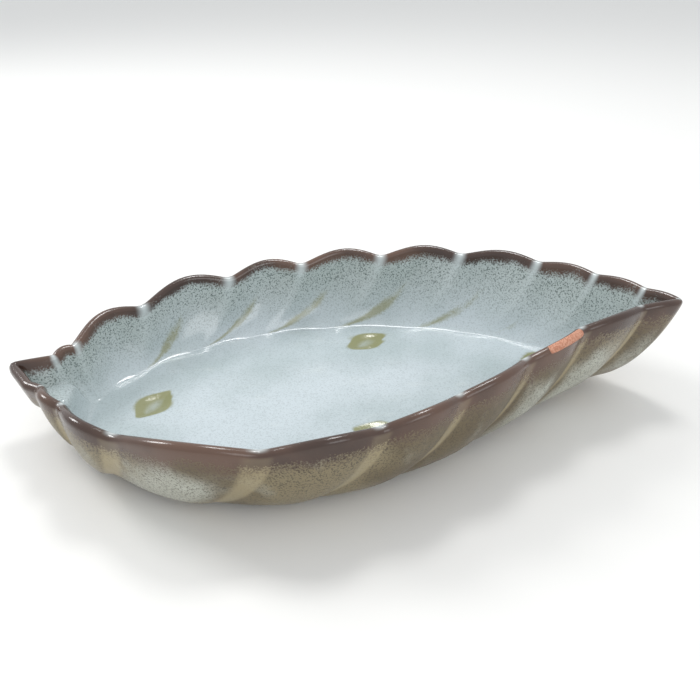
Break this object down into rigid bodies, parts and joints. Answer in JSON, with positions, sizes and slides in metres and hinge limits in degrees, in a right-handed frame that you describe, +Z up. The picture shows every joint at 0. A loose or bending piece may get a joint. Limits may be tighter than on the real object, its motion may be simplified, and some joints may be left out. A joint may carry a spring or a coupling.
{
  "type": "leaf dish",
  "caption": "Leaf-shaped glazed pottery dish with a scalloped wall, a hollow stem and small oval feet, for rings and trinkets.",
  "frame": {"origin": "middle of the bounding box in X and Y, on the plane of the soles of the feet", "axes": "+X from the stem to the tip, +Y to the far side of the picture, +Z up"},
  "size_m": [0.3094, 0.1702, 0.0528],
  "materials": {
    "fired_clay": "matt fired clay, seen where the rim is chipped",
    "inner_glaze": "glossy pale blue-grey glaze with dark specks",
    "rim_glaze": "glossy chocolate-brown glaze where it breaks over the rim",
    "outer_glaze": "satin olive-brown speckled glaze",
    "foot_clay": "thinly glazed clay"
  },
  "bodies": {
    "root": {"clay_wall": "fired_clay", "clay_floor": "fired_clay", "inner_wall_glaze": "inner_glaze", "floor_glaze": "inner_glaze", "rim_glaze": "rim_glaze", "outer_wall_glaze": "outer_glaze", "base_glaze": "outer_glaze", "stem_foot": "foot_clay", "far_foot": "foot_clay", "near_foot": "foot_clay", "tip_foot": "foot_clay"}
  },
  "joints": []
}
